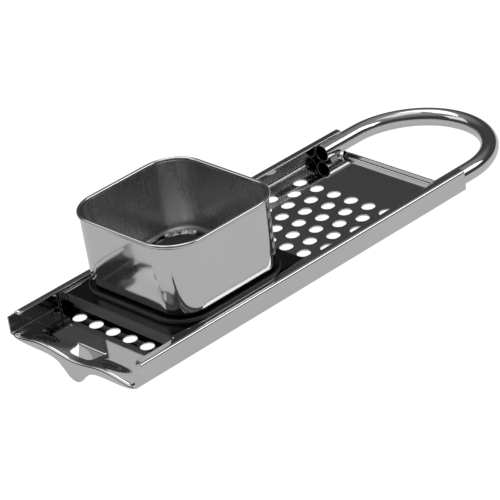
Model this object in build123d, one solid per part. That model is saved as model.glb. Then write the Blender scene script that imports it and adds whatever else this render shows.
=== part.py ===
from build123d import *
import math
import os

# Spaetzle slicer: a perforated tray with channel rails and a bent tube handle,
# and a square hopper on a slide plate that runs to and fro in the rails.
# Millimetres, +Z up, +X towards the handle. The origin is the centre of the
# hole field on the tray's flat underside, which rests on the rim of a pot.

# Sheet and tube stock
SHEET = 0.8
TUBE_OD = 10.4
TUBE_WALL = 0.8

# Tray
TRAY_FRONT = -117.2
TRAY_REAR = 129.2
TRAY_HALF_WIDTH = 49.5
RAIL_HEIGHT = 12.1
LIP_WIDTH = 5.2
RAIL_BEND = 1.65
LIP_SETBACK = 5.0
LIP_STOP_DROP = 2.2
REAR_FLANGE_X = 123.4
REAR_FLANGE_HEIGHT = 4.0
REAR_FLANGE_HALF = 37.8

# Hole field
HOLE_DIAMETER = 7.7
HOLE_PITCH = 13.2
HOLE_ROWS = 16
HOLES_PER_ROW = 6
ROW_SPACING = HOLE_PITCH * math.sqrt(3) / 2

# Front apron, drip lip and pot hook
APRON_REAR = -101.5
WAVE_LOW = 0.2
WAVE_RISE = 2.4
WAVE_PERIOD = 48.0
WAVE_STEPS = 16
LIP_EDGE = [(48.7, -0.3), (40.0, -1.8), (20.0, -2.1), (13.0, -3.6), (8.6, -6.8), (4.4, -10.6)]
HOOK_TIP_Z = -12.0

# Tab bent down behind the front lip, which holds a pot's rim between the two
TAB_ROOT = -102.5
TAB_FRONT = -112.0
TAB_HALF_REAR = 10.5
TAB_HALF_FRONT = 6.5
TAB_LENGTH = 8.5
TAB_ANGLE = 72
TAB_SLOT_GAP = 0.5

# Handle
HANDLE_END_X = 111.0
HANDLE_BEND_X = 139.5
WELD_LENGTH = 5.0
WELD_ROOT = 1.2
WELD_REACH = 5.4
WELD_HEIGHT = 2.2

# Slide plate, a hollow moulding centred under the hopper
PLATE_HALF_X = 47.85
PLATE_HALF_Y = 41.3
PLATE_BOTTOM = 6.4
PLATE_TOP = 11.0
PLATE_SKIN = 1.6
PLATE_CORNER = 2.0
SKIRT_BOTTOM = 2.8
SKIRT_SETBACK = 1.5

# Runners, a folded strip on each side of the slide plate under the rail's lip
RUNNER_SIDE_GAP = 0.5
RUNNER_FLOOR_GAP = 0.4
RUNNER_LIP_GAP = 0.3

# Hopper and its raised base
HOPPER_X = -35.4
BASE_HALF_X = 40.7
BASE_HALF_Y = 42.9
BASE_CORNER = 20.0
BASE_TOP = 13.2
BASE_EDGE = 0.8
OPENING_HALF_X = 33.4
OPENING_HALF_Y = 37.3
OPENING_CORNER = 14.6
WALL_LOW_X = 38.0
WALL_LOW_Y = 40.9
WALL_LOW_CORNER = 16.5
WALL_TOP_X = 39.4
WALL_TOP_Y = 42.3
WALL_TOP_CORNER = 19.5
FOOT_RADIUS = 3.0
RIM_Z = 54.8
BEAD_RADIUS = 1.2
COLLAR_BOTTOM = 12.4
COLLAR_TOP = 15.4
COLLAR_FLANGE = 0.8
COLLAR_WALL = 0.6

INNER_HALF = TRAY_HALF_WIDTH - SHEET
TUBE_Z = SHEET + TUBE_OD / 2
TUBE_Y = INNER_HALF - TUBE_OD / 2


def box(x, y, z):
    """A box from the low and high limits on each axis."""
    size = Box(x[1] - x[0], y[1] - y[0], z[1] - z[0])
    return Pos((x[0] + x[1]) / 2, (y[0] + y[1]) / 2, (z[0] + z[1]) / 2) * size


def rounded(half_x, half_y, corner, z, x=HOPPER_X):
    """A rounded rectangle lying at height z."""
    return Pos(x, 0, z) * RectangleRounded(2 * half_x, 2 * half_y, corner)


def wave(y):
    """Height of the tray's front fold line across the tray."""
    return WAVE_LOW + WAVE_RISE * math.sin(math.pi * y / WAVE_PERIOD) ** 2


def perforated_floor():
    """The flat grating, with a low flange turned up at the handle end."""
    floor = box((APRON_REAR, REAR_FLANGE_X), (-INNER_HALF, INNER_HALF), (0, SHEET))
    for row in range(HOLE_ROWS):
        row_x = (row - (HOLE_ROWS - 1) / 2) * ROW_SPACING
        stagger = HOLE_PITCH / 4 if row % 2 else -HOLE_PITCH / 4
        spots = []
        for i in range(HOLES_PER_ROW):
            hole_y = (i - (HOLES_PER_ROW - 1) / 2) * HOLE_PITCH + stagger
            spots.append(Pos(row_x, hole_y, SHEET / 2) * Cylinder(HOLE_DIAMETER / 2, 2 * SHEET))
        floor -= spots
    flange_x = (REAR_FLANGE_X - SHEET, REAR_FLANGE_X)
    return floor + box(flange_x, (-REAR_FLANGE_HALF, REAR_FLANGE_HALF), (0, REAR_FLANGE_HEIGHT))


def band(x, height):
    """A closed outline across the tray at x: a sheet's section under the curve height(y)."""
    top = []
    for i in range(WAVE_STEPS + 1):
        y = -INNER_HALF + 2 * INNER_HALF * i / WAVE_STEPS
        top.append((x, y, height(y)))
    under = [(p[0], p[1], p[2] - SHEET) for p in reversed(top)]
    edges = [Spline(*top), Line(top[-1], under[0]), Spline(*under), Line(under[-1], top[0])]
    return Face(Wire(edges))


def front_apron():
    """The apron that rises to the waved fold, the drip lip below it and the pot hook."""
    lip_back = TRAY_FRONT + SHEET
    apron = loft([band(APRON_REAR, lambda y: SHEET), band(lip_back, wave)], ruled=True)
    slot = Pos(0, 0, -SHEET) * extrude(tab_plan(TAB_SLOT_GAP), 4 * SHEET)
    apron -= slot
    fold = []
    for i in range(WAVE_STEPS + 1):
        y = -INNER_HALF + 2 * INNER_HALF * i / WAVE_STEPS
        fold.append((y, wave(y)))
    edge = [(y, z) for y, z in LIP_EDGE] + [(0, HOOK_TIP_Z)]
    edge += [(-y, z) for y, z in reversed(LIP_EDGE)]
    top = Spline(*fold)
    bottom = Spline(*edge)
    right = Line(fold[-1], edge[0])
    left = Line(edge[-1], fold[0])
    face = Plane.YZ * make_face([top, right, bottom, left])
    lip = Pos(TRAY_FRONT, 0, 0) * extrude(face, SHEET, dir=(1, 0, 0))
    return apron + lip


def tab_plan(gap):
    """The window left in the apron: the tab's outline before bending, grown by gap."""
    corners = [
        (TAB_FRONT - gap, -TAB_HALF_FRONT - gap),
        (TAB_ROOT, -TAB_HALF_REAR - gap),
        (TAB_ROOT, TAB_HALF_REAR + gap),
        (TAB_FRONT - gap, TAB_HALF_FRONT + gap),
    ]
    return make_face(Polyline(*corners, close=True))


def rim_tab():
    """A tab lanced out of the apron and bent down at its rear edge."""
    lean = math.radians(TAB_ANGLE)
    reach = (-TAB_LENGTH * math.cos(lean), -TAB_LENGTH * math.sin(lean))
    skin = (-SHEET * math.sin(lean), SHEET * math.cos(lean))
    side = [(0, SHEET), (0, 0), reach, (reach[0] + skin[0], reach[1] + skin[1]), skin]
    blade = extrude(Plane.XZ * make_face(Polyline(*side, close=True)), TAB_HALF_REAR, both=True)
    front = [
        (-TAB_HALF_REAR, SHEET),
        (TAB_HALF_REAR, SHEET),
        (TAB_HALF_FRONT, reach[1]),
        (-TAB_HALF_FRONT, reach[1]),
    ]
    taper = extrude(Plane.YZ * make_face(Polyline(*front, close=True)), TAB_LENGTH, both=True)
    return Pos(TAB_ROOT, 0, 0) * (blade & taper)


def rail():
    """The tray's side at +Y: a wall with its top edge turned inwards over the slide's edge."""
    wall = box((TRAY_FRONT, TRAY_REAR), (INNER_HALF, TRAY_HALF_WIDTH), (0, RAIL_HEIGHT))
    lip_y = (TRAY_HALF_WIDTH - LIP_WIDTH, TRAY_HALF_WIDTH)
    lip_x = (TRAY_FRONT + LIP_SETBACK, TRAY_REAR)
    lip = box(lip_x, lip_y, (RAIL_HEIGHT - SHEET, RAIL_HEIGHT))
    profile = wall + lip
    crown = profile.edges().filter_by(Axis.X).group_by(Axis.Z)[-1].sort_by(Axis.Y)[-1]
    profile = fillet(crown, RAIL_BEND)
    stop_x = (lip_x[0], lip_x[0] + SHEET)
    stop_z = (RAIL_HEIGHT - SHEET - LIP_STOP_DROP, RAIL_HEIGHT - SHEET)
    return profile + box(stop_x, (lip_y[0], INNER_HALF), stop_z)


def rail_wall(side):
    """The upright part of a rail."""
    wall = split(rail(), bisect_by=Plane.XZ.offset(-INNER_HALF), keep=Keep.BOTTOM)
    return wall if side > 0 else mirror(wall, Plane.XZ)


def rail_lip(side):
    """The turned-in part of a rail, which keeps the slide down, with its front end bent down as a stop."""
    lip = split(rail(), bisect_by=Plane.XZ.offset(-INNER_HALF), keep=Keep.TOP)
    return lip if side > 0 else mirror(lip, Plane.XZ)


def handle_tube():
    """A round tube bent to a half circle, with both ends inside the rails."""
    start = (HANDLE_END_X, -TUBE_Y)
    turn_in = (HANDLE_BEND_X, -TUBE_Y)
    turn_out = (HANDLE_BEND_X, TUBE_Y)
    finish = (HANDLE_END_X, TUBE_Y)
    bend = ThreePointArc(turn_in, (HANDLE_BEND_X + TUBE_Y, 0), turn_out)
    path = Pos(0, 0, TUBE_Z) * Wire([Line(start, turn_in), bend, Line(turn_out, finish)])
    ring = Circle(TUBE_OD / 2) - Circle(TUBE_OD / 2 - TUBE_WALL)
    section = Plane(origin=(*start, TUBE_Z), z_dir=(1, 0, 0)) * ring
    return sweep(section, path=path)


def handle_welds():
    """A weld bead in the gap between the tube and the floor on each side."""
    section = [(WELD_ROOT, 0), (WELD_REACH, 0), (TUBE_OD / 2 - WELD_ROOT, WELD_HEIGHT)]
    wedge = Plane.YZ * make_face(Polyline(*section, close=True))
    middle = (HANDLE_END_X + REAR_FLANGE_X) / 2
    tube = Pos(middle, -TUBE_Y, TUBE_Z) * Rot(0, 90, 0) * Cylinder(TUBE_OD / 2, 3 * TUBE_OD)
    start = HANDLE_END_X + WELD_LENGTH / 2
    bead = Pos(start, -TUBE_Y, SHEET) * extrude(wedge, WELD_LENGTH, dir=(1, 0, 0)) - tube
    return Compound(children=[bead.solid(), mirror(bead, Plane.XZ).solid()])


def slide_plate():
    """The moulding that carries the hopper, hollow underneath and open in the middle."""
    outline = rounded(PLATE_HALF_X, PLATE_HALF_Y, PLATE_CORNER, PLATE_BOTTOM)
    block = extrude(outline, PLATE_TOP - PLATE_BOTTOM)
    half_x = PLATE_HALF_X - SKIRT_SETBACK
    half_y = PLATE_HALF_Y - SKIRT_SETBACK
    skirt = rounded(half_x, half_y, PLATE_CORNER, SKIRT_BOTTOM)
    block += extrude(skirt, PLATE_BOTTOM - SKIRT_BOTTOM)
    inside = rounded(half_x - PLATE_SKIN, half_y - PLATE_SKIN, PLATE_CORNER, 0)
    hollow = extrude(inside, PLATE_TOP - PLATE_SKIN)
    collar = rounded(
        OPENING_HALF_X + PLATE_SKIN, OPENING_HALF_Y + PLATE_SKIN, OPENING_CORNER + PLATE_SKIN, 0
    )
    hollow -= extrude(collar, PLATE_TOP)
    return block - hollow - opening()


def slide_runners():
    """A folded steel strip on each side of the slide plate: it rides on the tray under the lip."""
    crest = RAIL_HEIGHT - SHEET - RUNNER_LIP_GAP
    foot = SHEET + RUNNER_FLOOR_GAP
    outside = INNER_HALF - RUNNER_SIDE_GAP
    x = (HOPPER_X - PLATE_HALF_X, HOPPER_X + PLATE_HALF_X)
    strip = box(x, (PLATE_HALF_Y, outside), (crest - SHEET, crest))
    strip += box(x, (outside - SHEET, outside), (foot, crest))
    strip += box(x, (PLATE_HALF_Y, PLATE_HALF_Y + SHEET), (PLATE_BOTTOM, crest))
    strip += box((x[0], x[0] + SHEET), (PLATE_HALF_Y, outside), (PLATE_BOTTOM, crest))
    return Compound(children=[strip.solid(), mirror(strip, Plane.XZ).solid()])


def hopper_base():
    """The raised pad under the hopper, open in the middle."""
    pad = extrude(rounded(BASE_HALF_X, BASE_HALF_Y, BASE_CORNER, PLATE_TOP), BASE_TOP - PLATE_TOP)
    pad = fillet(pad.faces().sort_by(Axis.Z)[-1].edges(), BASE_EDGE)
    return pad - opening()


def opening():
    """The rounded square way through the base and the hopper's bottom."""
    outline = rounded(OPENING_HALF_X, OPENING_HALF_Y, OPENING_CORNER, 0)
    return extrude(outline, BASE_TOP + 4 * SHEET)


def hopper_body(inset):
    """The hopper's tapered block, inset by a wall thickness, with a rounded foot."""
    low = rounded(WALL_LOW_X - inset, WALL_LOW_Y - inset, WALL_LOW_CORNER - inset, BASE_TOP + inset)
    high = rounded(WALL_TOP_X - inset, WALL_TOP_Y - inset, WALL_TOP_CORNER - inset, RIM_Z)
    block = loft([low, high], ruled=True)
    return fillet(block.faces().sort_by(Axis.Z)[0].edges(), FOOT_RADIUS - inset)


def rim_bead():
    """The rolled bead round the hopper's mouth."""
    outline = rounded(WALL_TOP_X, WALL_TOP_Y, WALL_TOP_CORNER, RIM_Z).face().outer_wire()
    start = outline.position_at(0)
    section = Plane(origin=start, z_dir=outline.tangent_at(0)) * Circle(BEAD_RADIUS)
    return sweep(section, path=outline)


def hopper_shell():
    """The deep-drawn hopper: four tapered walls and an inward foot round the opening."""
    return hopper_body(0) - hopper_body(SHEET) - opening() - rim_bead()


def outlet_collar():
    """The ring rolled through the opening, which locks the hopper to its base."""
    grow = COLLAR_FLANGE
    wall = rounded(OPENING_HALF_X, OPENING_HALF_Y, OPENING_CORNER, COLLAR_BOTTOM)
    wide = rounded(
        OPENING_HALF_X + grow, OPENING_HALF_Y + grow, OPENING_CORNER + grow, BASE_TOP + SHEET
    )
    ring = extrude(wall, COLLAR_TOP - COLLAR_BOTTOM) + extrude(wide, COLLAR_WALL)
    bore = rounded(
        OPENING_HALF_X - COLLAR_WALL, OPENING_HALF_Y - COLLAR_WALL, OPENING_CORNER - COLLAR_WALL, 0
    )
    return ring - extrude(bore, 2 * COLLAR_TOP)


PIECES = {
    "perforated_floor": perforated_floor,
    "front_apron": front_apron,
    "rim_tab": rim_tab,
    "left_wall": lambda: rail_wall(-1),
    "left_lip": lambda: rail_lip(-1),
    "right_wall": lambda: rail_wall(1),
    "right_lip": lambda: rail_lip(1),
    "handle_tube": handle_tube,
    "handle_welds": handle_welds,
    "slide_plate": slide_plate,
    "slide_runners": slide_runners,
    "hopper_base": hopper_base,
    "hopper_shell": hopper_shell,
    "outlet_collar": outlet_collar,
    "rim_bead": rim_bead,
}

os.makedirs("parts", exist_ok=True)
for name, make in PIECES.items():
    export_step(make(), f"parts/{name}.step")
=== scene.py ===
import math

import bmesh
import bpy
from mathutils import Matrix, Vector
from mathutils.geometry import tessellate_polygon


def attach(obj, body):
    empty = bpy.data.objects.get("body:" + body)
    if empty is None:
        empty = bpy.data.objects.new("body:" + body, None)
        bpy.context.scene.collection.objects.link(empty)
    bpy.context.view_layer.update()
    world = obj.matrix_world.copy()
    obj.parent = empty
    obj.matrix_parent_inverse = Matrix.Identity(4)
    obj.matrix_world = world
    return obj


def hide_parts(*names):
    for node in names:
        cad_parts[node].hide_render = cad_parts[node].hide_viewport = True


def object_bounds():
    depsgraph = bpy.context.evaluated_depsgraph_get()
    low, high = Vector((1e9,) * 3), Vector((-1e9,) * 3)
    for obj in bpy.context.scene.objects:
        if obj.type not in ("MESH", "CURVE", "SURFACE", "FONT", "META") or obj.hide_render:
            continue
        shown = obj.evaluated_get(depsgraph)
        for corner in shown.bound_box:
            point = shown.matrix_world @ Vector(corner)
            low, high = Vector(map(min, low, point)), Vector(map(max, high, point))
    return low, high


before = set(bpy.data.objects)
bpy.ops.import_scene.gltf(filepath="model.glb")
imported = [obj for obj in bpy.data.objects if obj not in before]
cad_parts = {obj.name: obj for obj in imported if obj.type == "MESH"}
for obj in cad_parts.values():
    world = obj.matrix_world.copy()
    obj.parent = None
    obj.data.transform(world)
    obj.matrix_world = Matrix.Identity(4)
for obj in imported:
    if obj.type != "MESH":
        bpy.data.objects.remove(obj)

# Spaetzle slicer in polished stainless steel. Lengths are in millimetres until
# they reach a mesh. +X runs along the tray to the handle and +Z is up.
cad_low, cad_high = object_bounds()
MM = 0.001

# ---- Sizes shared with the CAD model ----
SHEET = 0.8
TRAY_FRONT, TRAY_REAR = -117.2, 129.2
WALL_OUT, RAIL_TOP, LIP_WIDTH = 49.5, 12.1, 5.2
LIP_START = -112.2
STRIP_Y = 46.7
FLOOR_REAR, FLANGE_HALF, FLANGE_TOP = 123.4, 37.8, 4.0
HOLE_RADIUS, PITCH, ROWS, PER_ROW = 3.85, 13.2, 16, 6
APRON_REAR = -101.5
TAB_ROOT, TAB_FRONT, TAB_WIDE, TAB_NARROW = -102.5, -112.0, 10.5, 6.5
TAB_ANGLE, TAB_LENGTH, TAB_BEND, TAB_TAPER = 72, 8.5, 1.3, 0.8
HOOK_EDGE = [(0, -12.0), (4.4, -10.6), (8.6, -6.8), (13.0, -3.6)]
LIP_EDGE = HOOK_EDGE + [(20.0, -2.1), (40.0, -1.8), (48.7, -0.3)]
TUBE_R, TUBE_WALL, TUBE_Y, TUBE_Z = 5.2, 0.8, 43.5, 6.0
TUBE_END, TUBE_BEND = 111.0, 139.5
HOPPER_X = -35.4
PLATE_X, PLATE_Y, PLATE_LOW, PLATE_TOP = 47.85, 41.3, 6.4, 11.0
PLATE_CORNER, PLATE_SKIN, PLATE_EDGE = 2.0, 1.6, 0.7
SKIRT_LOW, SKIRT_SETBACK = 2.8, 1.5
PAD = (40.7, 42.9, 20.0)
OPENING = (33.4, 37.3, 14.6)
WALL_LOW = (38.0, 40.9, 16.5)
WALL_TOP = (39.4, 42.3, 19.5)
PAD_EDGE, PAD_SEAT = 0.75, 1.6
BASE_TOP, RIM_Z, BEAD_R, FOOT_R = 13.2, 54.8, 1.2, 3.0
COLLAR_LOW, COLLAR_TOP, COLLAR_WALL, COLLAR_FLANGE = 12.4, 15.4, 0.6, 0.8


# ---- Materials ----
def nodes_of(name):
    material = bpy.data.materials.new(name)
    material.use_nodes = True
    tree = material.node_tree
    return material, tree, tree.nodes["Principled BSDF"]


def noise(tree, scale, stretch=(1, 1, 1), detail=3.0, rough=0.5):
    """Noise in the object's own metres, stretched along the axes."""
    coords = tree.nodes.new("ShaderNodeTexCoord")
    mapping = tree.nodes.new("ShaderNodeMapping")
    mapping.inputs["Scale"].default_value = stretch
    texture = tree.nodes.new("ShaderNodeTexNoise")
    texture.inputs["Scale"].default_value = scale
    texture.inputs["Detail"].default_value = detail
    texture.inputs["Roughness"].default_value = rough
    tree.links.new(coords.outputs["Object"], mapping.inputs["Vector"])
    tree.links.new(mapping.outputs["Vector"], texture.inputs["Vector"])
    return texture.outputs["Fac"]


def ramp(tree, source, low, high, start=0.3, end=0.7):
    """Maps a noise value to a range."""
    node = tree.nodes.new("ShaderNodeMapRange")
    node.inputs["From Min"].default_value = start
    node.inputs["From Max"].default_value = end
    node.inputs["To Min"].default_value = low
    node.inputs["To Max"].default_value = high
    tree.links.new(source, node.inputs["Value"])
    return node.outputs["Result"]


def mix(tree, kind, a, b):
    node = tree.nodes.new("ShaderNodeMath")
    node.operation = kind
    for socket, value in zip(node.inputs, (a, b)):
        if isinstance(value, (int, float)):
            socket.default_value = value
        else:
            tree.links.new(value, socket)
    return node.outputs["Value"]


def bump(tree, height, distance, strength=1.0, under=None):
    node = tree.nodes.new("ShaderNodeBump")
    node.inputs["Distance"].default_value = distance
    node.inputs["Strength"].default_value = strength
    tree.links.new(height, node.inputs["Height"])
    if under is not None:
        tree.links.new(under, node.inputs["Normal"])
    return node.outputs["Normal"]


def tone(tree, source, dark, light):
    node = tree.nodes.new("ShaderNodeMix")
    node.data_type = "RGBA"
    node.inputs["A"].default_value = (*dark, 1)
    node.inputs["B"].default_value = (*light, 1)
    tree.links.new(source, node.inputs["Factor"])
    return node.outputs["Result"]


def steel(name, level, polish, wave, lines, line_axis="x"):
    """Polished stainless steel: faint rolling lines, smudges, and sheet that isn't quite flat."""
    material, tree, shader = nodes_of(name)
    stretch = {"x": (0.03, 1, 1), "z": (1, 1, 0.04)}[line_axis]
    smudge = noise(tree, 38, detail=5, rough=0.6)
    grain = noise(tree, 900, stretch, detail=2)
    patch = ramp(tree, smudge, 0, 1)
    streak = ramp(tree, grain, 0, 1)
    shares = mix(tree, "MULTIPLY", patch, 0.6), mix(tree, "MULTIPLY", streak, 0.4)
    blend = mix(tree, "ADD", *shares)
    dark = tuple(0.94 * c for c in level)
    tree.links.new(tone(tree, blend, dark, level), shader.inputs["Base Color"])
    scuff = ramp(tree, smudge, polish, polish + 0.05)
    rough = mix(tree, "ADD", scuff, mix(tree, "MULTIPLY", streak, 0.02))
    tree.links.new(rough, shader.inputs["Roughness"])
    broad = bump(tree, noise(tree, 26, detail=1), wave)
    fine = bump(tree, grain, lines, under=broad)
    tree.links.new(fine, shader.inputs["Normal"])
    shader.inputs["Metallic"].default_value = 1.0
    return material


def plastic(name):
    """Black moulded plastic: glossy flat faces, upright ones rougher and with a painted sheen (a far
    lighter base colour), and finger marks.
    """
    material, tree, shader = nodes_of(name)
    smudge = noise(tree, 45, detail=5, rough=0.6)
    patch = ramp(tree, smudge, 0, 1)
    top = tone(tree, patch, (0.0022, 0.0022, 0.0024), (0.0042, 0.0042, 0.0045))
    # Painted sheen: upright faces get a base colour about thirty times lighter than the flat ones, standing
    # in for the light they catch.
    side = tone(tree, patch, (0.105, 0.105, 0.107), (0.135, 0.135, 0.137))
    coords = tree.nodes.new("ShaderNodeTexCoord")
    split = tree.nodes.new("ShaderNodeSeparateXYZ")
    tree.links.new(coords.outputs["Normal"], split.inputs[0])
    # This mask of upright faces sets the painted sheen in the colour and also a rougher, satin finish.
    upright = ramp(tree, mix(tree, "ABSOLUTE", split.outputs["Z"], 0), 1, 0, 0.45, 0.85)
    blend = tree.nodes.new("ShaderNodeMix")
    blend.data_type = "RGBA"
    tree.links.new(upright, blend.inputs["Factor"])
    tree.links.new(top, blend.inputs["A"])
    tree.links.new(side, blend.inputs["B"])
    tree.links.new(blend.outputs["Result"], shader.inputs["Base Color"])
    rough = mix(tree, "ADD", ramp(tree, smudge, 0.16, 0.26), mix(tree, "MULTIPLY", upright, 0.16))
    tree.links.new(rough, shader.inputs["Roughness"])
    shader.inputs["Specular IOR Level"].default_value = 0.28
    broad = bump(tree, noise(tree, 30, detail=1), 0.00012)
    tree.links.new(bump(tree, noise(tree, 1800, detail=2), 0.000006, under=broad), shader.inputs["Normal"])
    shader.inputs["IOR"].default_value = 1.45
    return material


SHEET_STEEL = steel("tray_steel", (0.62, 0.62, 0.625), 0.045, 0.00018, 0.0000008)
TUBE_STEEL = steel("tube_steel", (0.63, 0.63, 0.635), 0.04, 0.00010, 0.0000007)
HOPPER_STEEL = steel("hopper_steel", (0.62, 0.62, 0.625), 0.05, 0.00030, 0.0000010, "z")
INSIDE_STEEL = steel("hopper_inside_steel", (0.60, 0.60, 0.605), 0.24, 0.00030, 0.0000002, "z")
BEAD_STEEL = steel("bead_steel", (0.64, 0.64, 0.645), 0.06, 0.00004, 0.0000015)
WELD_STEEL = steel("weld_steel", (0.50, 0.49, 0.48), 0.22, 0.0004, 0.00001)
BLACK = plastic("slide_plastic")


# ---- Mesh helpers ----
def piece(name, verts, faces, material, body, nodes=(), bevel=0.14, cut=None):
    """A smooth-shaded mesh with softened edges that rides on a body and stands for CAD nodes."""
    mesh = bpy.data.meshes.new(name)
    mesh.from_pydata([Vector(v) * MM for v in verts], [], faces)
    work = bmesh.new()
    work.from_mesh(mesh)
    bmesh.ops.remove_doubles(work, verts=work.verts, dist=1e-7)
    bmesh.ops.dissolve_degenerate(work, edges=work.edges, dist=1e-8)
    bmesh.ops.recalc_face_normals(work, faces=work.faces)
    work.to_mesh(mesh)
    work.free()
    obj = bpy.data.objects.new(name, mesh)
    bpy.context.collection.objects.link(obj)
    mesh.materials.append(material)
    if cut is not None:
        take = obj.modifiers.new("Cut", "BOOLEAN")
        take.operation, take.solver, take.object = "DIFFERENCE", "EXACT", cut
        graph = bpy.context.evaluated_depsgraph_get()
        solid = bpy.data.meshes.new_from_object(obj.evaluated_get(graph))
        obj.modifiers.clear()
        obj.data = solid
        obj.data.name = name
        bpy.data.objects.remove(cut)
    for polygon in obj.data.polygons:
        polygon.use_smooth = True
    soften(obj, bevel)
    if nodes:
        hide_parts(*nodes)
    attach(obj, body)
    return obj


def soften(obj, width):
    if width:
        edge = obj.modifiers.new("Edge", "BEVEL")
        edge.width, edge.segments = width * MM, 2
        edge.limit_method, edge.angle_limit = "ANGLE", math.radians(38)
        edge.use_clamp_overlap = True
    flat = obj.modifiers.new("Flat", "WEIGHTED_NORMAL")
    flat.weight, flat.keep_sharp = 60, True


def arc(cx, cy, radius, start, end, steps):
    """Points on an arc, angles in degrees."""
    points = []
    for i in range(steps + 1):
        a = math.radians(start + (end - start) * i / steps)
        points.append((cx + radius * math.cos(a), cy + radius * math.sin(a)))
    return points


def bend(cx, cz, radius, start, end, steps):
    """A bent stretch of sheet: points with their outward normals, angles in degrees."""
    stretch = []
    for i in range(1, steps + 1):
        a = math.radians(start + (end - start) * i / steps)
        c, s = math.cos(a), math.sin(a)
        stretch.append((cx + radius * c, cz + radius * s, c, s))
    return stretch


def grid_faces(rows, columns, wrap_rows=False, wrap_columns=False):
    faces = []
    for i in range(rows if wrap_rows else rows - 1):
        for j in range(columns if wrap_columns else columns - 1):
            a, b = i, (i + 1) % rows
            c, d = j, (j + 1) % columns
            faces.append((a * columns + c, b * columns + c, b * columns + d, a * columns + d))
    return faces


def prism(section, stations, place):
    """A closed section swept through stations, with a cap at each end."""
    verts = [place(point, station) for station in stations for point in section]
    n, m = len(stations), len(section)
    faces = grid_faces(n, m, wrap_columns=True)
    faces.append(tuple(range(m)))
    faces.append(tuple((n - 1) * m + k for k in reversed(range(m))))
    return verts, faces


def join(*parts):
    verts, faces = [], []
    for part_verts, part_faces in parts:
        base = len(verts)
        verts += part_verts
        faces += [tuple(base + k for k in face) for face in part_faces]
    return verts, faces


def plate(outline, holes, low, high, open_edges=()):
    """A flat sheet with holes. Edges in open_edges, by their index, get no side wall."""
    loops = [outline] + holes
    flat = [Vector((x, y, 0)) for loop in loops for x, y in loop]
    triangles = tessellate_polygon([[Vector((x, y, 0)) for x, y in loop] for loop in loops])
    count = len(flat)
    verts = [(p.x, p.y, high) for p in flat] + [(p.x, p.y, low) for p in flat]
    faces = [tuple(t) for t in triangles] + [tuple(count + k for k in reversed(t)) for t in triangles]
    start = 0
    for index, loop in enumerate(loops):
        size = len(loop)
        for k in range(size):
            if index == 0 and k in open_edges:
                continue
            a, b = start + k, start + (k + 1) % size
            faces.append((a, b, count + b, count + a))
        start += size
    return verts, faces


def ring(shape, z, centre=HOPPER_X, arc_steps=18, side_steps=8):
    """A rounded rectangle as a closed loop, always with the same number of points."""
    half_x, half_y, corner = shape
    corner = max(corner, 0.05)
    points = []
    corners = [(1, 1, 0), (-1, 1, 90), (-1, -1, 180), (1, -1, 270)]
    for k, (sx, sy, start) in enumerate(corners):
        cx, cy = sx * (half_x - corner), sy * (half_y - corner)
        points += arc(cx, cy, corner, start, start + 90, arc_steps)
        nx, ny, following = corners[(k + 1) % 4]
        first = points[-1]
        last = arc(nx * (half_x - corner), ny * (half_y - corner), corner, following, following, 1)[0]
        for i in range(1, side_steps):
            t = i / side_steps
            points.append((first[0] + t * (last[0] - first[0]), first[1] + t * (last[1] - first[1])))
    return [(centre + x, y, z) for x, y in points]


def stack(rings):
    """Closes a list of rings into one tube-like shell."""
    size = len(rings[0])
    return [p for loop in rings for p in loop], grid_faces(len(rings), size, True, True)


def inset(shape, d):
    return tuple(v - d for v in shape)


def rounded_edge(shape, edge, top):
    """Rings that turn a block's upright side over into its top."""
    rings = []
    for i in range(1, 7):
        a = math.radians(90 * i / 6)
        rings.append(ring(inset(shape, edge * (1 - math.cos(a))), top - edge + edge * math.sin(a)))
    return rings


def between(a, b, t):
    return tuple(p + t * (q - p) for p, q in zip(a, b))


def smooth(t):
    t = min(1.0, max(0.0, t))
    return t * t * (3 - 2 * t)


def curve_through(points, x):
    """A smooth height through a list of points, by Catmull-Rom."""
    x = abs(x)
    for i in range(len(points) - 1):
        if x <= points[i + 1][0] or i == len(points) - 2:
            break
    p1, p2 = points[i], points[i + 1]
    p0 = points[i - 1] if i else (-p2[0], p2[1])
    p3 = points[min(i + 2, len(points) - 1)]
    t = min(1.0, (x - p1[0]) / (p2[0] - p1[0]))
    m1 = (p2[1] - p0[1]) / (p2[0] - p0[0]) * (p2[0] - p1[0])
    m2 = (p3[1] - p1[1]) / (p3[0] - p1[0]) * (p2[0] - p1[0])
    h = t * t * t
    return (
        (2 * h - 3 * t * t + 1) * p1[1]
        + (h - 2 * t * t + t) * m1
        + (3 * t * t - 2 * h) * p2[1]
        + (h - t * t) * m2
    )


# ---- Tray: floor ----
def make_floor():
    outline = [
        (APRON_REAR, -STRIP_Y),
        (FLOOR_REAR, -STRIP_Y),
        (FLOOR_REAR, -FLANGE_HALF),
        (FLOOR_REAR - 2.0, -FLANGE_HALF),
        (FLOOR_REAR - 2.0, FLANGE_HALF),
        (FLOOR_REAR, FLANGE_HALF),
        (FLOOR_REAR, STRIP_Y),
        (APRON_REAR, STRIP_Y),
    ]
    holes = []
    for row in range(ROWS):
        x = (row - (ROWS - 1) / 2) * PITCH * math.sqrt(3) / 2
        shift = PITCH / 4 if row % 2 else -PITCH / 4
        for i in range(PER_ROW):
            y = (i - (PER_ROW - 1) / 2) * PITCH + shift
            holes.append([(x + a, y + b) for a, b in arc(0, 0, HOLE_RADIUS, 0, -360, 40)[:-1]])
    sheet = plate(outline, holes, 0, SHEET, open_edges=(3,))
    bend = FLOOR_REAR - 2.0
    section = [(bend, 0)] + arc(bend, 2.0, 2.0, -90, 0, 10) + [(FLOOR_REAR, FLANGE_TOP)]
    section += [(FLOOR_REAR - SHEET, FLANGE_TOP)] + arc(bend, 2.0, 2.0 - SHEET, 0, -90, 10)
    flange = prism(section, (-FLANGE_HALF, FLANGE_HALF), lambda p, y: (p[0], y, p[1]))
    verts, faces = join(sheet, flange)
    piece("grating", verts, faces, SHEET_STEEL, "tray", ("perforated_floor",), bevel=0.18)


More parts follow.
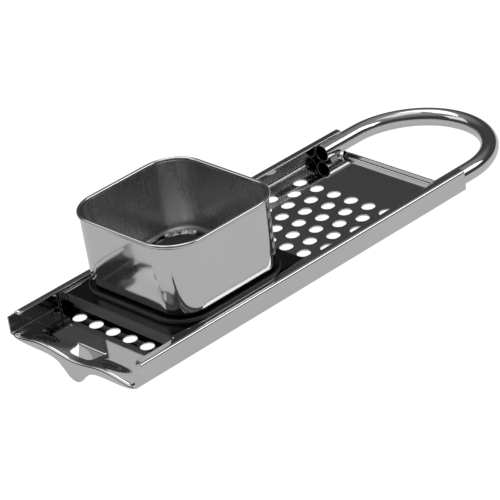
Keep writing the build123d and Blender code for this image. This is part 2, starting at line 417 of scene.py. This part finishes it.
# ---- Tray: side rails ----
RAIL_BEND, FOOT_BEND, HALF = 1.65, 1.3, SHEET / 2
LIP_CURL, LIP_DROOP = 2.2, 1.0


def rail_line():
    """The rail's centre line from the floor round the two bends to the lip's edge: y, z, normal."""
    foot = WALL_OUT - FOOT_BEND
    top = WALL_OUT - RAIL_BEND
    crown = RAIL_TOP - RAIL_BEND
    line = [(STRIP_Y, HALF, 0, -1), (foot, HALF, 0, -1)]
    line += bend(foot, FOOT_BEND, FOOT_BEND - HALF, -90, 0, 8)
    line += [(WALL_OUT - HALF, z, 1, 0) for z in (2.2, 6.0, crown - 0.6, crown)]
    line += bend(top, crown, RAIL_BEND - HALF, 0, 90, 10)
    line += [(y, RAIL_TOP - HALF, 0, 1) for y in (top - 0.5, top - 1.4, WALL_OUT - LIP_WIDTH + HALF)]
    return line


def rail_section(line, length):
    """The sheet's outline where its centre line is cut at a length."""
    kept, travelled = [line[0]], 0.0
    for before, after in zip(line, line[1:]):
        step = math.dist(before[:2], after[:2])
        t = max(0.0, min(1.0, (length - travelled) / step))
        kept.append(between(before, after, t) if t < 1 else after)
        travelled += step
        if t <= 0:
            kept[-1] = kept[-2]
    outer = [(y + HALF * ny, z + HALF * nz) for y, z, ny, nz in kept]
    inner = [(y - HALF * ny, z - HALF * nz) for y, z, ny, nz in reversed(kept)]
    y, z, ny, nz = kept[-1]
    tip = []
    for i in range(1, 6):
        a = math.radians(180 * i / 6)
        along, out = HALF * math.sin(a) * 0.9, HALF * math.cos(a)
        tip.append((y - along * nz + out * ny, z + along * ny + out * nz))
    return outer + tip + inner


def make_rail(side, name, nodes):
    """A side wall and its lip: upright only at the front, then with the lip to the rear end."""
    line = rail_line()
    total = sum(math.dist(a[:2], b[:2]) for a, b in zip(line, line[1:]))
    lip = LIP_WIDTH - 2 * HALF
    upright = total - lip - 0.6
    stations = [(x, upright, 0.0) for x in (TRAY_FRONT, TRAY_FRONT + 2.5, LIP_START - 0.3)]
    for i in range(9):
        t = i / 8
        corner = 1.2 * (1 - math.sqrt(1 - (1 - t) ** 2))
        stations.append((LIP_START + LIP_CURL * t, total - corner, LIP_DROOP * (1 - t) ** 2))
    start = LIP_START + LIP_CURL
    stations += [(start + (TRAY_REAR - 0.6 - start) * i / 24, total, 0.0) for i in range(1, 25)]
    stations.append((TRAY_REAR, total - 0.5, 0.0))
    verts, size = [], 0
    for x, length, droop in stations:
        section = rail_section(line, length)
        size = len(section)
        for y, z in section:
            reach = smooth((WALL_OUT - 1.2 - y) / 2.6) if z > 6 else 0.0
            verts.append((x, side * y, z - droop * reach))
    faces = grid_faces(len(stations), size, wrap_columns=True)
    faces.append(tuple(range(size)))
    faces.append(tuple((len(stations) - 1) * size + k for k in reversed(range(size))))
    piece(name, verts, faces, SHEET_STEEL, "tray", nodes, bevel=0.1)


# ---- Tray: apron, drip lip and pot hook ----
FOLD_R = 1.7
APRON_LAP = 0.02


def wave(y):
    """Height of the apron's waved front crest across the tray."""
    rise = 0.2 + 2.4 * math.sin(math.pi * y / 48.0) ** 2
    return rise + 0.6 * smooth((abs(y) - 43.0) / 3.7)


def apron_line(y):
    """The apron's top surface from the grating over the crest and down to the lip's edge: x, z, normal."""
    top = wave(y)
    edge = min(curve_through(LIP_EDGE, y), top - 0.9)
    crest_x = TRAY_FRONT + FOLD_R
    lapped = SHEET - APRON_LAP
    line = [(APRON_REAR + 0.7, lapped, 0, 1), (APRON_REAR + 0.02, lapped, 0, 1)]
    for i in range(19):
        t = i / 18
        height = SHEET + smooth((t - 0.3) / 0.7) * (top - SHEET)
        line.append((APRON_REAR + t * (crest_x - APRON_REAR), height, 0, 1))
    turn = 90.0
    if top - edge < FOLD_R:
        turn = min(turn, math.degrees(math.acos(max(-1.0, 1 - (top - edge) / FOLD_R))))
    line += bend(crest_x, top - FOLD_R, FOLD_R, 90, 90 + turn, 10)
    x, z, nx, nz = line[-1]
    drop = min(edge, z) - z
    return line + [(x, z + drop * i / 8, nx, nz) for i in range(1, 9)]


def make_apron():
    verts, columns = [], 121
    for k in range(columns):
        y = -STRIP_Y + 2 * STRIP_Y * k / (columns - 1)
        line = apron_line(y)
        verts += [(x, y, z) for x, z, nx, nz in line]
        verts += [(x - SHEET * nx, y, z - SHEET * nz) for x, z, nx, nz in reversed(line)]
    rows = len(verts) // columns
    faces = grid_faces(columns, rows, wrap_columns=True)
    faces.append(tuple(range(rows)))
    faces.append(tuple((columns - 1) * rows + k for k in reversed(range(rows))))
    window = [(TAB_ROOT, -TAB_WIDE - 0.5), (TAB_ROOT, TAB_WIDE + 0.5)]
    front = arc(TAB_FRONT + 3.5, TAB_NARROW - 1.0, 4.0, 75, 180, 8)
    window += front + [(x, -y) for x, y in reversed(front)]
    cutter_verts, cutter_faces = prism(window, (-8, 8), lambda p, z: (p[0], p[1], z))
    mesh = bpy.data.meshes.new("cutter")
    mesh.from_pydata([Vector(v) * MM for v in cutter_verts], [], cutter_faces)
    work = bmesh.new()
    work.from_mesh(mesh)
    bmesh.ops.recalc_face_normals(work, faces=work.faces)
    work.to_mesh(mesh)
    work.free()
    cutter = bpy.data.objects.new("cutter", mesh)
    bpy.context.collection.objects.link(cutter)
    nodes = ("front_apron",)
    piece("apron", verts, faces, SHEET_STEEL, "tray", nodes, bevel=0.14, cut=cutter)


def make_tab():
    """The tab bent down at the rear of the apron's window."""
    line = [(TAB_ROOT + 0.4, SHEET, 0, 1), (TAB_ROOT, SHEET, 0, 1)]
    line += bend(TAB_ROOT, SHEET - TAB_BEND, TAB_BEND, 90, 90 + TAB_ANGLE, 8)
    x, z, nx, nz = line[-1]
    straight = TAB_LENGTH - TAB_BEND * math.radians(TAB_ANGLE)
    for i in range(1, 9):
        step = straight * i / 8
        line.append((x - step * nz, z - step * abs(nx), nx, nz))
    verts, columns = [], 14
    for j in range(columns + 1):
        side = -1 + 2 * j / columns
        outer, inner = [], []
        for k, (x, z, nx, nz) in enumerate(line):
            along = max(0.0, k - 2) / (len(line) - 3)
            half = TAB_WIDE - TAB_TAPER * along
            outer.append((x, side * half, z))
            inner.append((x - SHEET * nx, side * half, z - SHEET * nz))
        verts += outer + inner[::-1]
    size = 2 * len(line)
    faces = grid_faces(columns + 1, size, wrap_columns=True)
    faces.append(tuple(range(size)))
    faces.append(tuple(columns * size + k for k in reversed(range(size))))
    piece("pot_tab", verts, faces, SHEET_STEEL, "tray", ("rim_tab",), bevel=0.14)


# ---- Handle ----
def make_handle():
    path = [((x, -TUBE_Y), (1, 0)) for x in (TUBE_END, 117, 123, 129, TUBE_BEND - 3, TUBE_BEND)]
    for i in range(1, 96):
        a = math.radians(-90 + 180 * i / 96)
        path.append(((TUBE_BEND + TUBE_Y * math.cos(a), TUBE_Y * math.sin(a)), (-math.sin(a), math.cos(a))))
    path += [((p[0], TUBE_Y), (-1, 0)) for p, _ in reversed(path[:6])]
    around = 40
    rings = []
    for radius in (TUBE_R, TUBE_R - TUBE_WALL):
        loops = []
        for (x, y), (tx, ty) in path:
            loop = []
            for k in range(around):
                a = 2 * math.pi * k / around
                side, up = radius * math.cos(a), radius * math.sin(a)
                loop.append((x + side * ty, y - side * tx, TUBE_Z + up))
            loops.append(loop)
        rings.append(loops)
    verts, faces = stack(rings[0] + rings[1][::-1])
    piece("handle", verts, faces, TUBE_STEEL, "tray", ("handle_tube",), bevel=0.2)


# ---- Slide ----
def make_plate():
    """The slide's moulding: a plate over a set-back skirt, hollow underneath, with a well in the middle."""
    outer = (PLATE_X, PLATE_Y, PLATE_CORNER)
    skirt = (PLATE_X - SKIRT_SETBACK, PLATE_Y - SKIRT_SETBACK, PLATE_CORNER)
    inside = (skirt[0] - PLATE_SKIN, skirt[1] - PLATE_SKIN, PLATE_CORNER)
    well = inset(OPENING, -PLATE_SKIN)
    ceiling = PLATE_TOP - PLATE_SKIN
    rings = [ring(skirt, SKIRT_LOW), ring(skirt, PLATE_LOW)]
    rings += [ring(outer, PLATE_LOW), ring(outer, PLATE_TOP - PLATE_EDGE)]
    rings += rounded_edge(outer, PLATE_EDGE, PLATE_TOP)
    rings += [ring(PAD, PLATE_TOP), ring(OPENING, PLATE_TOP), ring(OPENING, SKIRT_LOW)]
    rings += [ring(well, SKIRT_LOW), ring(well, ceiling), ring(inside, ceiling), ring(inside, SKIRT_LOW)]
    verts, faces = stack(rings)
    piece("slide_body", verts, faces, BLACK, "slide", ("slide_plate",), bevel=0.15)


def make_pad():
    rings = [ring(PAD, PLATE_TOP), ring(PAD, BASE_TOP - PAD_EDGE)]
    rings += rounded_edge(PAD, PAD_EDGE, BASE_TOP)
    rings += [ring(inset(PAD, PAD_SEAT), BASE_TOP), ring(OPENING, BASE_TOP), ring(OPENING, PLATE_TOP)]
    verts, faces = stack(rings)
    piece("slide_pad", verts, faces, BLACK, "slide", ("hopper_base",), bevel=0.12)


def make_runners():
    crest, foot, bend_r = PLATE_TOP, 1.2, 0.7
    inside, outside = PLATE_Y, 48.2
    for side, name in ((-1, "left_runner"), (1, "right_runner")):
        section = [(inside, PLATE_LOW), (inside + SHEET, PLATE_LOW), (inside + SHEET, crest - SHEET)]
        section += [(outside - SHEET, crest - SHEET), (outside - SHEET, foot), (outside, foot)]
        section += arc(outside - bend_r, crest - bend_r, bend_r, 0, 90, 5)
        section += arc(inside + bend_r, crest - bend_r, bend_r, 90, 180, 5)
        ends = (HOPPER_X - PLATE_X, HOPPER_X + PLATE_X)
        strip = prism(section, ends, lambda p, x, s=side: (x, s * p[0], p[1]))
        cap = [(inside + 0.3, PLATE_LOW), (outside - 0.2, PLATE_LOW), (outside - 0.2, crest - 0.5)]
        cap += [(inside + 0.3, crest - 0.5)]
        front = (ends[0] + 0.05, ends[0] + SHEET)
        flap = prism(cap, front, lambda p, x, s=side: (x, s * p[0], p[1]))
        verts, faces = join(strip, flap)
        nodes = ("slide_runners",) if side < 0 else ()
        piece(name, verts, faces, SHEET_STEEL, "slide", nodes, bevel=0.12)


# ---- Hopper ----
def make_hopper():
    """The drawn cup: its outside from the rim down, and back up the inside, which is satin."""
    foot, inner_foot = FOOT_R, FOOT_R - SHEET

    def wall(depth, height):
        t = (height - BASE_TOP) / (RIM_Z - BASE_TOP)
        return ring(inset(between(WALL_LOW, WALL_TOP, t), depth), height)

    heights = [RIM_Z - 0.2 - (RIM_Z - BASE_TOP - foot - 0.2) * i / 10 for i in range(11)]
    rings = [wall(0, h) for h in heights]
    for i in range(1, 9):
        a = math.radians(90 * i / 8)
        rings.append(wall(foot * (1 - math.cos(a)), BASE_TOP + foot - foot * math.sin(a)))
    rings += [ring(OPENING, BASE_TOP), ring(OPENING, BASE_TOP + SHEET)]
    for i in range(9):
        a = math.radians(90 - 90 * i / 8)
        height = BASE_TOP + SHEET + inner_foot - inner_foot * math.sin(a)
        rings.append(wall(SHEET + inner_foot * (1 - math.cos(a)), height))
    rings += [wall(SHEET, h) for h in reversed(heights[:-1])]
    verts, faces = stack(rings)
    nodes = ("hopper_shell",)
    cup = piece("hopper", verts, faces, HOPPER_STEEL, "slide", nodes, bevel=0.1)
    cup.data.materials.append(INSIDE_STEEL)
    axis = Vector((HOPPER_X * MM, 0, 0))
    for polygon in cup.data.polygons:
        away = (polygon.center - axis) * Vector((1, 1, 0))
        if polygon.normal.z > 0.25 or polygon.normal.dot(away) < 0:
            polygon.material_index = 1


def make_bead():
    line = ring(WALL_TOP, RIM_Z)
    count, around = len(line), 20
    verts = []
    for k, here in enumerate(line):
        before, after = line[k - 1], line[(k + 1) % count]
        tangent = (Vector(after) - Vector(before)).normalized()
        out = Vector((tangent.y, -tangent.x, 0))
        for j in range(around):
            a = 2 * math.pi * j / around
            up = Vector((0, 0, BEAD_R * math.sin(a)))
            verts.append(tuple(Vector(here) + out * BEAD_R * math.cos(a) + up))
    faces = grid_faces(count, around, True, True)
    piece("rim_roll", verts, faces, BEAD_STEEL, "slide", ("rim_bead",), bevel=0)


def make_collar():
    flange = inset(OPENING, -COLLAR_FLANGE)
    bore = inset(OPENING, COLLAR_WALL)
    base = BASE_TOP + SHEET
    rings = [ring(OPENING, COLLAR_LOW), ring(OPENING, base), ring(flange, base)]
    rings += [ring(flange, base + COLLAR_WALL), ring(OPENING, base + COLLAR_WALL)]
    rings += [ring(OPENING, COLLAR_TOP), ring(bore, COLLAR_TOP), ring(bore, COLLAR_LOW)]
    verts, faces = stack(rings)
    nodes = ("outlet_collar",)
    piece("outlet_ring", verts, faces, HOPPER_STEEL, "slide", nodes, bevel=0.18)


make_floor()
make_rail(-1, "left_rail", ("left_wall", "left_lip"))
make_rail(1, "right_rail", ("right_wall", "right_lip"))
make_apron()
make_tab()
make_handle()
make_plate()
make_pad()
make_runners()
make_hopper()
make_bead()
make_collar()

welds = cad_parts["handle_welds"]
welds.data.materials.clear()
welds.data.materials.append(WELD_STEEL)
soften(welds, 0.3)

# ---- Floor, lights and surroundings ----
scene = bpy.context.scene
scene.view_settings.view_transform = "Standard"
scene.view_settings.look = "None"


def make_stage():
    """A plain pale floor just under the pot hook, which glows so that it stays white."""
    level = cad_low.z - 0.0004
    half = 6.0
    corners = [(-half, -half, level), (half, -half, level), (half, half, level), (-half, half, level)]
    mesh = bpy.data.meshes.new("floor")
    mesh.from_pydata(corners, [], [(0, 1, 2, 3)])
    obj = bpy.data.objects.new("stage_floor", mesh)
    bpy.context.collection.objects.link(obj)
    material = bpy.data.materials.new("pale_floor")
    material.use_nodes = True
    tree = material.node_tree
    tree.nodes.clear()
    out = tree.nodes.new("ShaderNodeOutputMaterial")
    path = tree.nodes.new("ShaderNodeLightPath")
    matte = tree.nodes.new("ShaderNodeBsdfDiffuse")
    matte.inputs["Color"].default_value = (0.25, 0.25, 0.25, 1)
    glow = tree.nodes.new("ShaderNodeEmission")
    level_mix = tree.nodes.new("ShaderNodeMapRange")
    level_mix.inputs["To Min"].default_value = 0.52
    level_mix.inputs["To Max"].default_value = 0.95
    add = tree.nodes.new("ShaderNodeAddShader")
    geometry = tree.nodes.new("ShaderNodeNewGeometry")
    clear = tree.nodes.new("ShaderNodeBsdfTransparent")
    sides = tree.nodes.new("ShaderNodeMixShader")
    tree.links.new(path.outputs["Is Camera Ray"], level_mix.inputs["Value"])
    tree.links.new(level_mix.outputs["Result"], glow.inputs["Strength"])
    tree.links.new(matte.outputs[0], add.inputs[0])
    tree.links.new(glow.outputs[0], add.inputs[1])
    tree.links.new(geometry.outputs["Backfacing"], sides.inputs["Fac"])
    tree.links.new(add.outputs[0], sides.inputs[1])
    tree.links.new(clear.outputs[0], sides.inputs[2])
    tree.links.new(sides.outputs[0], out.inputs["Surface"])
    mesh.materials.append(material)


def make_world():
    """Dim studio walls above the horizon and a bright surround below it."""
    world = bpy.data.worlds.new("studio")
    world.use_nodes = True
    scene.world = world
    tree = world.node_tree
    back = tree.nodes["Background"]
    coords = tree.nodes.new("ShaderNodeTexCoord")
    split = tree.nodes.new("ShaderNodeSeparateXYZ")
    heights = tree.nodes.new("ShaderNodeValToRGB")
    path = tree.nodes.new("ShaderNodeLightPath")
    seen = tree.nodes.new("ShaderNodeMix")
    seen.data_type = "RGBA"
    seen.inputs["B"].default_value = (0.97, 0.97, 0.97, 1)
    lift = tree.nodes.new("ShaderNodeMapRange")
    lift.inputs["From Min"].default_value = -1
    stops = heights.color_ramp.elements
    stops[0].position, stops[0].color = 0.0, (0.62, 0.62, 0.62, 1)
    stops[1].position, stops[1].color = 1.0, (0.35, 0.35, 0.35, 1)
    for place, value in ((0.49, 0.62), (0.515, 0.06), (0.74, 0.075), (0.86, 0.3)):
        stop = stops.new(place)
        stop.color = (value, value, value, 1)
    tree.links.new(coords.outputs["Generated"], split.inputs[0])
    tree.links.new(split.outputs["Z"], lift.inputs["Value"])
    tree.links.new(lift.outputs["Result"], heights.inputs["Fac"])
    tree.links.new(path.outputs["Is Camera Ray"], seen.inputs["Factor"])
    tree.links.new(heights.outputs["Color"], seen.inputs["A"])
    tree.links.new(seen.outputs["Result"], back.inputs["Color"])


def softbox(name, azimuth, elevation, distance, width, height, level):
    """An area light that faces the tray, placed by compass angle from +X and by height."""
    a, e = math.radians(azimuth), math.radians(elevation)
    place = Vector((math.cos(a) * math.cos(e), math.sin(a) * math.cos(e), math.sin(e))) * distance
    data = bpy.data.lights.new(name, "AREA")
    data.shape, data.size, data.size_y = "RECTANGLE", width, height
    data.energy = level * math.pi * width * height
    data.color = (1, 1, 1)
    obj = bpy.data.objects.new(name, data)
    obj.location = place
    obj.rotation_mode = "QUATERNION"
    obj.rotation_quaternion = (-place).to_track_quat("-Z", "Y")
    bpy.context.collection.objects.link(obj)


make_stage()
make_world()
softbox("right_box", -47, 39, 2.2, 1.7, 0.8, 2.2)
softbox("left_box", 131, 36, 2.2, 1.5, 0.9, 0.95)
softbox("rear_top_box", 80, 66, 2.2, 1.5, 1.0, 1.8)
softbox("top_box", -60, 82, 2.2, 1.2, 1.2, 0.8)

# ---- Camera ----
CAMERA_AT = Vector((-871.34, -1041.88, 734.88)) * MM
AHEAD = Vector((0.569904, 0.672679, -0.471925))
RIGHT = Vector((0.708969, -0.692879, -0.131463))
camera_data = bpy.data.cameras.new("camera")
camera_data.sensor_width = 36
camera_data.lens = 208.6
camera_data.clip_start, camera_data.clip_end = 0.05, 50
camera = bpy.data.objects.new("camera", camera_data)
up = RIGHT.cross(AHEAD)
turn = Matrix((RIGHT, up, -AHEAD)).transposed()
camera.matrix_world = Matrix.Translation(CAMERA_AT) @ turn.to_4x4()
bpy.context.collection.objects.link(camera)
scene.camera = camera
